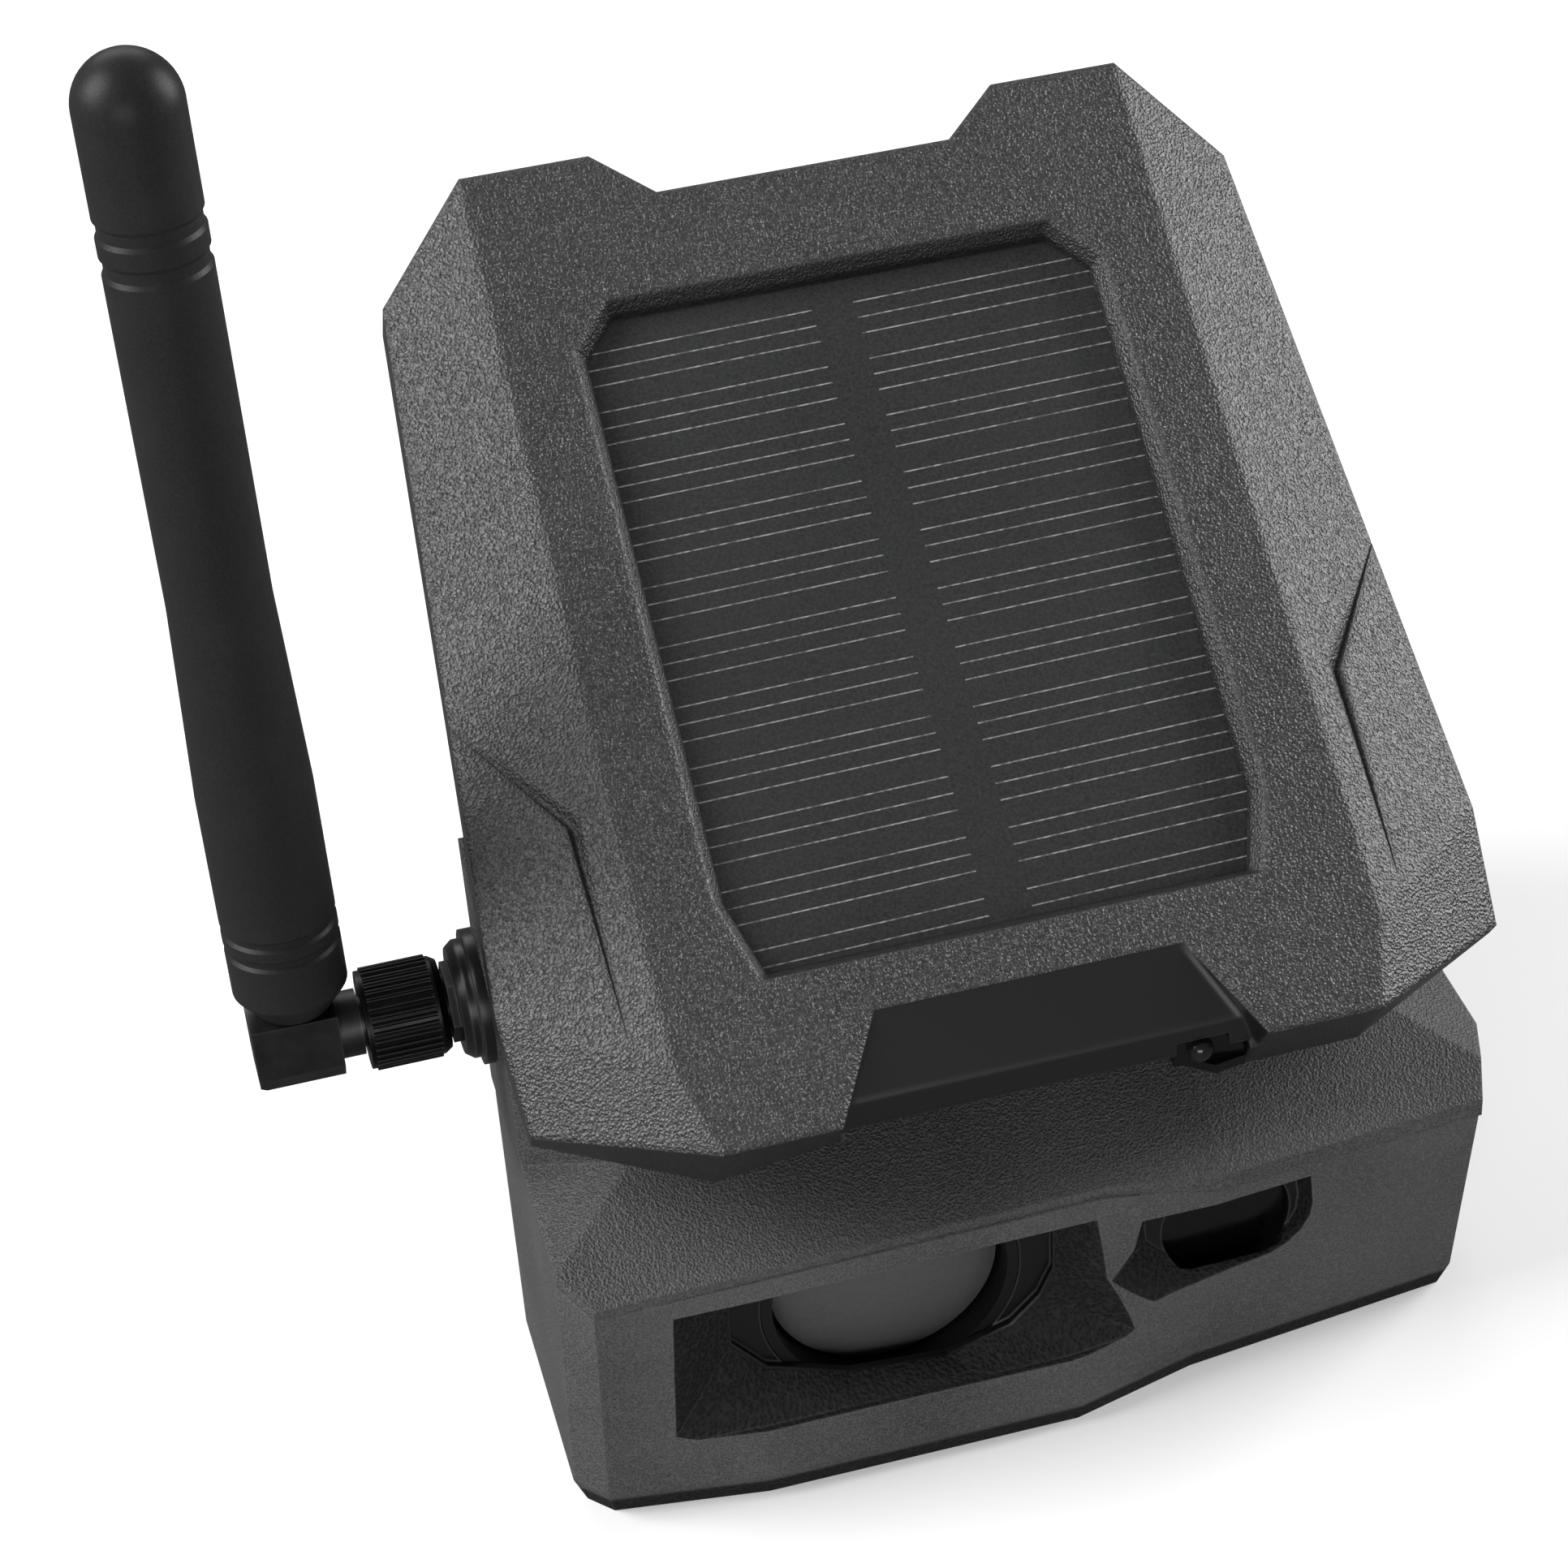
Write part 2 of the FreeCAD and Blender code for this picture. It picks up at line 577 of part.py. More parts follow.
def pir_bezel():
    """Black collar that lines the chamber and carries the lens by its rim."""
    collar = pir_chamber(PIR_CHAMBER - 0.1, -36.1, PIR_SEAT + 2.4)
    collar = collar.cut(pir_chamber(PIR_RADIUS + 0.4, -37, PIR_SEAT + 1.05))
    return collar.cut(pir_chamber(PIR_RADIUS - 1.8, PIR_SEAT, -20))


def pir_sensor():
    x, z = PIR_AXIS
    can = rod(4.6, Vec(x, -27.6, z), Vec(x, -24.0, z)).fuse(rod(5.0, Vec(x, -24.6, z), Vec(x, -24.0, z)))
    can = can.cut(block(x - 2, x + 2, -28, -27.3, z - 1.5, z + 1.5))
    plate = block(x - 8, x + 8, -24.0, -21.1, z - 8, z + 8)
    return can.fuse(plate).removeSplitter()


def lens_window():
    x, z = CAMERA_AXIS
    return rod(6.5, Vec(x, -35.9, z), Vec(x, -34.9, z))


def lens_barrel():
    x, z = CAMERA_AXIS
    body = join([rod(5.6, Vec(x, -34.7, z), Vec(x, -30, z)), rod(4.6, Vec(x, -30, z), Vec(x, -24, z)),
                 block(x - 7, x + 7, -24, -21.2, z - 7, z + 7)])
    mouth = cone(5.0, 3.4, Vec(x, -34.8, z), Vec(x, -32.6, z))
    return body.cut(mouth).cut(rod(3.4, Vec(x, -32.6, z), Vec(x, -21, z)))


def lens_glass():
    x, z = CAMERA_AXIS
    front = Part.makeSphere(5.2, Vec(x, -28.0, z)).common(rod(3.3, Vec(x, -34, z), Vec(x, -31.4, z)))
    middle = rod(3.3, Vec(x, -28.6, z), Vec(x, -27.4, z))
    back = rod(3.3, Vec(x, -25.6, z), Vec(x, -24.6, z))
    return [front, middle, back]


def sensor_board():
    """Upright board behind both sensors; it stands on the floor of the front shell."""
    x, z = CAMERA_AXIS
    board = block(-28, 31, -21.1, -19.7, WALL, 28)
    chips = [block(x - 2.3, x + 2.3, -21.9, -21.1, z - 2.3, z + 2.3), block(-4, 2, -19.7, -18.7, 8, 14),
             block(-24, -17, -19.7, -18.5, 10, 18)]
    return join([board] + chips)


def led_spots():
    x, z = CAMERA_AXIS
    turns = [2 * math.pi * (k + 0.5) / LED_COUNT for k in range(LED_COUNT)]
    return [Vec(x + LED_RING * math.cos(turn), 0, z + LED_RING * math.sin(turn)) for turn in turns]


def lens_bezel():
    x, z = CAMERA_AXIS
    ring = tube(9.4, 6.7, Vec(x, -33.3, z), Vec(x, -31.6, z))
    for spot in led_spots():
        ring = ring.cut(rod(0.95, spot + Vec(0, -34, 0), spot + Vec(0, -31, 0)))
    return ring


def infrared_leds():
    return [rod(0.85, spot + Vec(0, -33.2, 0), spot + Vec(0, -30.4, 0)) for spot in led_spots()]


def status_window():
    """Gloss black window in the right end of the front bar, with a pointed sill below the bar."""
    side = BAR_OPENING - 0.1
    sill = prism_z([(13.4, -37.5), (16.3, -39.8), (side, -39.3), (side, -34.5), (13.4, -34.5)], 41.6, 42.6)
    body = under_roof(block(13.4, side, STATUS_FACE, -34.5, 42.6, 48), BAR_FOOT[1])
    face = block(STATUS_X - 2.5, STATUS_X + 2.5, STATUS_FACE, STATUS_FACE + 2.4, 42.6, STATUS_TOP - 0.1)
    return join([sill, body, face])


def status_led():
    front = Vec(STATUS_X, STATUS_FACE, 44.3)
    return Part.makeSphere(1.3, front).cut(block(10, 20, STATUS_FACE, -30, 40, 48))


# ---------------------------------------------------------------- antenna
def leaned(shape):
    turned = shape.copy()
    turned.rotate(Vec(ANTENNA_X, ANTENNA_Y, ANTENNA_Z), Vec(1, 0, 0), -ANTENNA_LEAN)
    return turned


def antenna_sheath():
    """Radius along the whip: a thick root, a taper, and a thinner top with a round tip."""
    tip_radius = 4.75
    root = 3.7
    profile = [(0, root), (3.6, root), (5.45, root + 2.6), (5.45, 11.0), (5.15, 11.3), (5.15, 11.9),
               (5.45, 12.2), (5.45, 13.2), (5.15, 13.5), (5.15, 14.1), (5.45, 14.4), (5.45, 28.0),
               (tip_radius, 48.0), (tip_radius, 80.2), (4.5, 80.6), (4.5, 81.6), (tip_radius, 82.0),
               (tip_radius, 83.6), (4.5, 84.0), (4.5, 85.0), (tip_radius, 85.4),
               (tip_radius, ANTENNA_TOP - tip_radius)]
    points = [Vec(r, 0, h) for r, h in profile]
    wire = [Part.makeLine(a, b) for a, b in zip(points, points[1:])]
    top = Vec(0, 0, ANTENNA_TOP)
    drop = tip_radius * (1 - math.cos(math.pi / 4))
    shoulder = Vec(tip_radius * math.sin(math.pi / 4), 0, ANTENNA_TOP - drop)
    wire.append(Part.Arc(points[-1], shoulder, top).toShape())
    wire.append(Part.makeLine(top, points[0]))
    solid = Part.Face(Part.Wire(wire)).revolve(Vec(0, 0, 0), Vec(0, 0, 1), 360)
    solid.translate(Vec(ANTENNA_X, ANTENNA_Y, ANTENNA_Z))
    axis = Vec(ANTENNA_X, ANTENNA_Y, ANTENNA_Z)
    return leaned(solid.cut(rod(1.85, axis, axis + Vec(0, 0, 84))))


def antenna_core():
    axis = Vec(ANTENNA_X, ANTENNA_Y, ANTENNA_Z)
    return leaned(rod(1.8, axis + Vec(0, 0, 3.9), axis + Vec(0, 0, 83.8)))


def antenna_elbow():
    """Chamfered metal block with a neck towards the jack and a stub up into the whip."""
    half = 3.6
    corner = 1.5
    square = [(-half + corner, -half - 0.6), (half - corner, -half - 0.6), (half, -half + corner), (half, half),
              (-half, half), (-half, -half + corner)]
    body = prism_x(square, -4.6, 3.6)
    body = keep_under(body, Vec(-4.6, 0, -half), Vec(-1, 0, -1))
    body = body.fuse(rod(1.8, Vec(0, 0, 0), Vec(0, 0, 3.85)))
    body.translate(Vec(ANTENNA_X, ANTENNA_Y, ANTENNA_Z))
    start = Vec(ANTENNA_X + 3.0, ANTENNA_Y, ANTENNA_Z)
    jack_end = Vec(JACK_OUTER - 0.3, ANTENNA_Y, ANTENNA_Z)
    neck = rod(3.2, start, Vec(NUT_OUTER - 0.3, ANTENNA_Y, ANTENNA_Z)).fuse(rod(2.5, start, jack_end))
    flange = rod(3.0, jack_end - Vec(0.7, 0, 0), jack_end)
    pin = rod(0.45, start, jack_end + Vec(4.0, 0, 0))
    return leaned(join([body, neck, flange, pin]))


def coupling_nut():
    """Ribbed nut that turns on the elbow's neck and screws onto the jack."""
    outer = Vec(NUT_OUTER, ANTENNA_Y, ANTENNA_Z)
    inner = Vec(NUT_INNER, ANTENNA_Y, ANTENNA_Z)
    along = Vec(1, 0, 0)
    body = join([rod(4.75, outer, inner), cone(4.75, 4.3, inner, inner + along * 0.7)])
    for rib in range(NUT_RIBS):
        angle = 2 * math.pi * rib / NUT_RIBS
        spot = Vec(0, 4.72 * math.cos(angle), 4.72 * math.sin(angle))
        body = body.fuse(rod(0.27, outer + spot + along * 0.5, inner + spot - along * 0.3))
    body = body.cut(rod(2.56, outer - along, inner + along * 2))
    return body.cut(rod(3.22, outer + along * 2.2, inner + along * 2))


def antenna_jack():
    """Threaded coaxial jack through the boss, with a flange inside the wall."""
    axis = Vec(0, ANTENNA_Y, ANTENNA_Z)
    body = rod(3.15, axis + Vec(JACK_OUTER, 0, 0), axis + Vec(-42.0, 0, 0))
    body = body.fuse(rod(4.6, axis + Vec(-44.9, 0, 0), axis + Vec(-43.4, 0, 0)))
    body = body.cut(rod(2.2, axis + Vec(-57, 0, 0), axis + Vec(-50, 0, 0)))
    return body.fuse(tube(0.95, 0.5, axis + Vec(-54.0, 0, 0), axis + Vec(-50.0, 0, 0))).removeSplitter()


def jack_nut():
    axis = Vec(0, ANTENNA_Y, ANTENNA_Z)
    angles = [math.radians(60 * k) for k in range(6)]
    points = [(4.0 * math.cos(angle), 4.0 * math.sin(angle)) for angle in angles]
    nut = face_of([axis + Vec(BOSS_RIM - 0.8, y, z) for y, z in points]).extrude(Vec(0.8, 0, 0))
    return nut.cut(rod(3.2, axis + Vec(-52, 0, 0), axis + Vec(-50, 0, 0)))


# ---------------------------------------------------------------- rear door
def rear_door():
    plate_outline = [(DOOR_HALF_WIDTH - 3, DOOR_TOP), (DOOR_HALF_WIDTH, DOOR_TOP - 3),
                     (DOOR_HALF_WIDTH, DOOR_BOTTOM + 3), (DOOR_HALF_WIDTH - 3, DOOR_BOTTOM)]
    plate = prism_y(both_sides(plate_outline), DOOR_INNER, DOOR_OUTER)
    rib = block(-27.4, 27.4, DOOR_INNER - 2.2, DOOR_INNER, 20.6, 59.4)
    rib = rib.cut(block(-25.8, 25.8, 30, DOOR_INNER, 22.2, 57.8))
    knuckle = rod(HINGE_R, Vec(-11.9, HINGE_Y, HINGE_Z), Vec(11.9, HINGE_Y, HINGE_Z))
    arm = block(-11.9, 11.9, DOOR_INNER + 0.2, DOOR_OUTER, HINGE_Z, DOOR_BOTTOM + 1)
    door = plate.fuse(rib).fuse(knuckle).fuse(arm)
    for level in range(5):
        z = 28 + level * 5.0
        door = door.cut(block(-20, 20, DOOR_OUTER - 0.5, DOOR_OUTER + 1, z, z + 1.4))
    axis = Vec(0, HINGE_Y, HINGE_Z)
    door = door.cut(rod(1.05, axis + Vec(-20, 0, 0), axis + Vec(20, 0, 0)))
    latch = Vec(0, DOOR_INNER, LATCH_Z)
    boss = rod(3.2, latch + Vec(0, -2.2, 0), latch)
    door = door.fuse(boss)
    door = door.cut(rod(6.2, latch + Vec(0, 1.2, 0), latch + Vec(0, 6, 0)))
    return door.cut(rod(2.06, latch + Vec(0, -6, 0), latch + Vec(0, 6, 0))).removeSplitter()


def door_gasket():
    outer = block(-30.6, 30.6, REAR_BACK + 0.2, DOOR_INNER, 18.0, 62.0)
    return outer.cut(block(-28.6, 28.6, 30, 40, 19.4, 60.6))


def hinge_pin():
    axis = Vec(0, HINGE_Y, HINGE_Z)
    return rod(0.97, axis + Vec(-17.9, 0, 0), axis + Vec(17.9, 0, 0))


def door_latch():
    """Quarter-turn coin latch; its cam turns behind the top edge of the opening."""
    centre = Vec(0, DOOR_INNER + 1.3, LATCH_Z)
    head = rod(6.0, centre, centre + Vec(0, 1.8, 0))
    head = head.cut(block(-4.6, 4.6, DOOR_OUTER - 0.5, DOOR_OUTER + 3, LATCH_Z - 0.8, LATCH_Z + 0.8))
    shaft = rod(2.0, Vec(0, 32.2, LATCH_Z), centre)
    cam = block(-7.0, 7.0, 31.5, 33.4, LATCH_Z - 2.2, LATCH_Z + 2.2)
    return head.fuse(shaft).fuse(cam).removeSplitter()


# ---------------------------------------------------------------- controls and sockets
def power_button():
    y, z = BUTTON_AT
    cap = rod(4.0, Vec(37.4, y, z), Vec(42.0, y, z)).fuse(rod(5.2, Vec(36.8, y, z), Vec(38.4, y, z)))
    return cap.cut(tube(2.9, 2.3, Vec(41.7, y, z), Vec(43, y, z)))


def power_switch():
    y, z = BUTTON_AT
    body = block(30.2, 34.4, y - 3, y + 3, z - 3, z + 3)
    stem = rod(1.5, Vec(34.4, y, z), Vec(35.6, y, z))
    foot = block(30.2, 31.6, y - 3, y + 3, BOARD_Z + 1.6, z - 3)
    return join([body, stem, foot])


def power_socket():
    y, z = SOCKET_AT
    body = rod(4.6, Vec(30, y, z), Vec(REAR_HALF_WIDTH, y, z))
    body = body.cut(rod(2.75, Vec(32, y, z), Vec(REAR_HALF_WIDTH + 1, y, z)))
    return body.fuse(rod(1.0, Vec(31, y, z), Vec(40, y, z))).removeSplitter()


def socket_cover():
    y, z = SOCKET_AT
    flap = block(41.3, 43.3, y - 6.4, y + 6.4, z - 6.4, COVER_HINGE_Z - 1.9)
    web = block(41.7, 43.3, y - 4.7, y + 4.7, COVER_HINGE_Z - 2.4, COVER_HINGE_Z)
    barrel = rod(1.3, Vec(COVER_HINGE_X, y - 4.7, COVER_HINGE_Z), Vec(COVER_HINGE_X, y + 4.7, COVER_HINGE_Z))
    lip = block(43.3, 44.2, y - 3, y + 3, z - 6.4, z - 5.0)
    pin = Vec(COVER_HINGE_X, y, COVER_HINGE_Z)
    cover = join([flap, web, barrel, lip])
    return cover.cut(rod(0.65, pin + Vec(0, -10, 0), pin + Vec(0, 10, 0)))


def cover_pin():
    y, z = SOCKET_AT
    pin = Vec(COVER_HINGE_X, y, COVER_HINGE_Z)
    return rod(0.58, pin + Vec(0, -7.1, 0), pin + Vec(0, 7.1, 0))


def tripod_insert():
    """Brass insert with the bore of a quarter-inch camera thread."""
    body = rod(5.0, Vec(0, 0, 0.1), Vec(0, 0, 9.0)).fuse(rod(6.5, Vec(0, 0, 0), Vec(0, 0, 1.15)))
    return body.cut(rod(2.6, Vec(0, 0, -1), Vec(0, 0, 8.0)))


# ---------------------------------------------------------------- electronics and battery
def main_board():
    board = block(-37, 37, -9, 31, BOARD_Z, BOARD_Z + 1.6)
    for x, y in BOARD_POSTS:
        board = board.cut(rod(1.6, Vec(x, y, 10), Vec(x, y, 30)))
    chips = [block(-10, 2, -4, 6, BOARD_Z + 1.6, BOARD_Z + 2.8), block(6, 13, -6, 3, BOARD_Z + 1.6, BOARD_Z + 2.6),
             block(16, 22, 0, 4, BOARD_Z + 1.6, BOARD_Z + 4.6)]
    for column in range(6):
        chips.append(block(-9 + column * 2.4, -7.6 + column * 2.4, 8, 9, BOARD_Z + 1.6, BOARD_Z + 2.3))
    return join([board] + chips)


def modem():
    top = BOARD_Z + 1.6
    can = block(-34, -14, -2, 18, top, top + 2.4)
    return can.cut(block(-33, -15, -1, 17, top + 2.2, top + 3))


def card_slot(x, width, height, depth):
    """A push-in card slot on the board, open to the rear; the card leaves towards +Y."""
    top = BOARD_Z + 1.6
    shell = block(x - width / 2 - 1, x + width / 2 + 1, 24 - depth - 1, 24, top, top + height + 1.4)
    half = width / 2 + 0.1
    return shell.cut(block(x - half, x + half, 24 - depth, 25, top + 0.5, top + 0.9 + height))


def card(x, width, height, depth):
    top = BOARD_Z + 1.6
    body = block(x - width / 2, x + width / 2, 24 - depth + 0.2, 25.6, top + 0.6, top + 0.6 + height)
    return body.cut(prism_z([(x + width / 2, 20), (x + width / 2, 10), (x + width / 2 - 1.6, 10)],
                            top, top + 4))


def battery_cells():
    cells = []
    for height in CELL_HEIGHTS:
        start = Vec(-CELL_LENGTH / 2, CELL_Y, height)
        end = Vec(CELL_LENGTH / 2, CELL_Y, height)
        can = rod(CELL_R, start, end).fuse(rod(3.2, end, end + Vec(1.2, 0, 0)))
        cells.append(can.cut(tube(CELL_R + 1, CELL_R - 0.5, end - Vec(4, 0, 0), end - Vec(3, 0, 0))))
    return cells


def battery_cradle():
    low = CELL_HEIGHTS[0] - 8.0
    high = CELL_HEIGHTS[1] + 8.0
    frame = block(-37, 37, CELL_Y - 11.0, CELL_Y - 1.0, low, high)
    for height in CELL_HEIGHTS:
        axis = Vec(0, CELL_Y, height)
        frame = frame.cut(rod(CELL_R + GAP, axis + Vec(-34.6, 0, 0), axis + Vec(34.6, 0, 0)))
    frame = frame.cut(block(-28, 28, CELL_Y - 20, CELL_Y - 5, low + 5, high - 5))
    feet = [block(x - 1, x + 1, CELL_Y - 11.0, CELL_Y - 1.0, BOARD_Z + 1.6, low) for x in (-36.0, 36.0)]
    return join([frame] + feet)


def case_screws():
    tip = CASE_HOLE_TOP - 0.2
    return [screw(Vec(x, y, 0.5), Vec(x, y, tip), 2.5, 1.2, 1.6) for x, y in CASE_POSTS]


def hood_screws():
    seat = HOUSING_ROOF - WALL
    screws = []
    for x, y in HOOD_BOSSES:
        for side in (-x, x):
            flat = screw(Vec(side, y, seat - 1.7), Vec(side, y, -6.0), 2.3, 1.2, 1.6)
            screws.append(on_roof(flat))
    return screws


def board_screws():
    top = BOARD_Z + 1.6
    return [screw(Vec(x, y, top + 1.5), Vec(x, y, 12.0), 2.2, 1.0, 1.45) for x, y in BOARD_POSTS]


# ---------------------------------------------------------------- write every piece
def main():
    os.makedirs("parts", exist_ok=True)
    gasket, laminate, cells, board = panel_stack()
    pieces = {
        "roof_hood": [roof_hood()],
        "panel_gasket": [on_roof(s) for s in gasket],
        "panel_laminate": [on_roof(s) for s in laminate],
        "solar_cells": [on_roof(s) for s in cells],
        "panel_board": [on_roof(s) for s in board],
        "front_shell": [front_shell()],
        "top_shell": [top_shell()],
        "rear_housing": [rear_housing()],
        "pir_lens": [pir_lens()],
        "pir_bezel": [pir_bezel()],
        "pir_sensor": [pir_sensor()],
        "lens_window": [lens_window()],
        "lens_barrel": [lens_barrel()],
        "lens_glass": lens_glass(),
        "lens_bezel": [lens_bezel()],
        "infrared_leds": infrared_leds(),
        "sensor_board": [sensor_board()],
        "status_window": [status_window()],
        "status_led": [status_led()],
        "antenna_sheath": [antenna_sheath()],
        "antenna_core": [antenna_core()],
        "antenna_elbow": [antenna_elbow()],
        "coupling_nut": [coupling_nut()],
        "antenna_jack": [antenna_jack()],
        "jack_nut": [jack_nut()],
        "rear_door": [rear_door()],
        "door_gasket": [door_gasket()],
        "hinge_pin": [hinge_pin()],
        "door_latch": [door_latch()],
        "power_button": [power_button()],
        "power_switch": [power_switch()],
        "power_socket": [power_socket()],
        "socket_cover": [socket_cover()],
        "cover_pin": [cover_pin()],
        "tripod_insert": [tripod_insert()],
        "main_board": [main_board()],
        "modem": [modem()],
        "memory_card_slot": [card_slot(*MEMORY_CARD)],
        "memory_card": [card(*MEMORY_CARD)],
        "sim_slot": [card_slot(*SIM_CARD)],
        "sim_card": [card(*SIM_CARD)],
        "battery_cells": battery_cells(),
        "battery_cradle": [battery_cradle()],
        "case_screws": case_screws(),
        "hood_screws": hood_screws(),
        "board_screws": board_screws(),
    }
    for name, solids in pieces.items():
        export(name, solids)
        for solid in solids:
            print(name, solid.ShapeType, len(solid.Solids), round(solid.Volume), solid.isValid())


main()
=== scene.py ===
import math

import bmesh
import bpy
from mathutils import Matrix, Vector


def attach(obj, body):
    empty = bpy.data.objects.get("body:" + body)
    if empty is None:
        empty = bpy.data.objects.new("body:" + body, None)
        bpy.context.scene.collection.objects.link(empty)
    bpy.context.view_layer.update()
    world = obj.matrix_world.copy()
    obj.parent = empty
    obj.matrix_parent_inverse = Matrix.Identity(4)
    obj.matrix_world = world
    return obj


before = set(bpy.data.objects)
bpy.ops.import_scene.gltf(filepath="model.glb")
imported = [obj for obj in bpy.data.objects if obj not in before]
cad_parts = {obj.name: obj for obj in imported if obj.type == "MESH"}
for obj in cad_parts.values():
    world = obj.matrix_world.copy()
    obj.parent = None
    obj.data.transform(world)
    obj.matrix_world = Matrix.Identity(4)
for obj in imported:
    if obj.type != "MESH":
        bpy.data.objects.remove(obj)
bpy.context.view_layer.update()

# Looks of the solar security camera. Metres, +Z up, the front faces -Y.

MM = 0.001

# The roof plane: shapes on it are placed as (across, up the slope, off the plane), in millimetres.
ROOF_TILT = math.radians(35.0)
ROOF_ORIGIN = Vector((0, -36, 53)) * MM
ROOF = Matrix.Translation(ROOF_ORIGIN) @ Matrix.Rotation(ROOF_TILT, 4, "X")


# ---------------------------------------------------------------- node helpers
class Shader:
    """A material under construction, with short calls for the nodes it needs."""

    def __init__(self, name):
        self.material = bpy.data.materials.new(name)
        self.material.use_nodes = True
        self.tree = self.material.node_tree
        self.surface = self.tree.nodes["Principled BSDF"]

    def node(self, kind, **inputs):
        made = self.tree.nodes.new(kind)
        for name, value in inputs.items():
            self.feed(made.inputs[name.replace("_", " ")], value)
        return made

    def feed(self, socket, value):
        if isinstance(value, bpy.types.NodeSocket):
            self.tree.links.new(value, socket)
        else:
            socket.default_value = value

    def math(self, operation, *values):
        made = self.tree.nodes.new("ShaderNodeMath")
        made.operation = operation
        for socket, value in zip(made.inputs, values):
            self.feed(socket, value)
        return made.outputs[0]

    def position(self):
        return self.node("ShaderNodeTexCoord").outputs["Object"]

    def noise(self, scale, detail=2.0):
        made = self.node("ShaderNodeTexNoise", Scale=scale, Detail=detail)
        self.feed(made.inputs["Vector"], self.position())
        return made.outputs["Fac"]

    def cells(self, scale, warp):
        """Rounded cells like moulded leather grain, their outlines loosened by a noise."""
        position = self.position()
        drift = self.node("ShaderNodeTexNoise", Scale=scale * 0.7, Detail=1.0, Vector=position)
        shifted = self.tree.nodes.new("ShaderNodeVectorMath")
        shifted.operation = "MULTIPLY_ADD"
        self.feed(shifted.inputs[0], drift.outputs["Color"])
        shifted.inputs[1].default_value = (warp / scale,) * 3
        self.feed(shifted.inputs[2], position)
        made = self.node("ShaderNodeTexVoronoi", Scale=scale, Vector=shifted.outputs[0])
        made.feature = "F1"
        return made.outputs["Distance"]

    def mix(self, factor, first, second):
        made = self.tree.nodes.new("ShaderNodeMix")
        made.data_type = "RGBA"
        self.feed(made.inputs["Factor"], factor)
        self.feed(made.inputs[6], first)
        self.feed(made.inputs[7], second)
        return made.outputs[2]

    def blend(self, factor, first, second):
        """First where the factor is nought, second where it is one."""
        share = self.math("MULTIPLY", factor, second)
        return self.math("MULTIPLY_ADD", self.math("SUBTRACT", 1.0, factor), first, share)

    def span(self, value, low, high, start=0.0, end=1.0):
        made = self.node("ShaderNodeMapRange", Value=value)
        made.inputs["From Min"].default_value = low
        made.inputs["From Max"].default_value = high
        made.inputs["To Min"].default_value = start
        made.inputs["To Max"].default_value = end
        return made.outputs["Result"]

    def bump(self, height, depth, radius=0.0):
        """Surface relief, over edges rounded off by the radius."""
        made = self.node("ShaderNodeBump", Height=height, Distance=depth)
        if radius:
            rounded = self.node("ShaderNodeBevel", Radius=radius)
            rounded.samples = 6
            self.feed(made.inputs["Normal"], rounded.outputs["Normal"])
        self.feed(self.surface.inputs["Normal"], made.outputs["Normal"])

    def edges(self, radius=0.35 * MM):
        """One along edges, nought on flats: where a rounded normal leaves the true one."""
        rounded = self.node("ShaderNodeBevel", Radius=radius)
        rounded.samples = 4
        match = self.tree.nodes.new("ShaderNodeVectorMath")
        match.operation = "DOT_PRODUCT"
        self.feed(match.inputs[0], rounded.outputs["Normal"])
        self.feed(match.inputs[1], self.node("ShaderNodeNewGeometry").outputs["Normal"])
        return self.span(match.outputs["Value"], 0.99, 0.9)

    def finish(self, colour, roughness, **sockets):
        self.feed(self.surface.inputs["Base Color"], colour)
        self.feed(self.surface.inputs["Roughness"], roughness)
        for name, value in sockets.items():
            self.surface.inputs[name.replace("_", " ")].default_value = value
        return self.material


def grey(level, warmth=0.0):
    return (level * (1 + warmth), level, level * (1 - warmth), 1.0)


# ---------------------------------------------------------------- materials
def moulded(name, level, grain, depth, roughness, rounding, shine, calm=None, shade_and_coarse_grain=None):
    """Grained moulded plastic: level is its grey; grain, depth and edge rounding are in millimetres.

    Two functions mark places: calm the smooth dark ones (the recess floors on the lens face, whose dark
    is painted shade), and the other the ones with a coarser grain and a darker colour that is painted
    shade.
    """
    shader = Shader(name)
    scale = 1 / (grain * MM)
    pebbles = shader.cells(scale, 0.8)
    fine = shader.noise(scale * 1.6, 3.0)
    height = shader.math("ADD", pebbles, shader.math("MULTIPLY", fine, 0.8))
    # Grain peaks lighter and hollows darker: the grain's own tone, with painted glints on the peaks and
    # painted shade in the hollows.
    tone = shader.span(height, 0.45, 1.15)
    cloud = shader.span(shader.noise(45.0, 2.0), 0.3, 0.7, 0.0, 0.3)
    blend = shader.math("ADD", shader.math("MULTIPLY", tone, 0.7), cloud)
    colour = shader.mix(blend, grey(level * 0.3), grey(level * 1.8))
    gloss = shader.span(fine, 0.3, 0.7, roughness - 0.06, roughness + 0.08)
    # Painted shade: these places get a darker colour, and a coarser grain.
    if shade_and_coarse_grain:
        mask = shade_and_coarse_grain(shader)
        coarse = shader.cells(scale * 0.5, 0.9)
        height = shader.blend(mask, height, shader.math("MULTIPLY", coarse, 3.0))
        shade = shader.mix(shader.span(coarse, 0.3, 0.9), grey(0.002), grey(0.012))
        colour = shader.mix(mask, colour, shade)
        gloss = shader.blend(mask, gloss, 0.75)
    # Smooth and near black; on the lens face's recess floors this dark is painted shade.
    if calm:
        mask = calm(shader)
        height = shader.blend(mask, height, 0.5)
        colour = shader.mix(mask, colour, grey(0.005))
        gloss = shader.blend(mask, gloss, 0.33)
    shader.bump(height, depth * MM, rounding * MM)
    # Painted highlight: the edges are lightened to stand in for light caught on the rounded edges.
    edge_wear_and_highlight = shader.math("MULTIPLY", shader.edges(), 0.35)
    colour = shader.mix(edge_wear_and_highlight, colour, grey(level * 2.0 + 0.03))
    return shader.finish(colour, gloss, Specular_IOR_Level=shine)


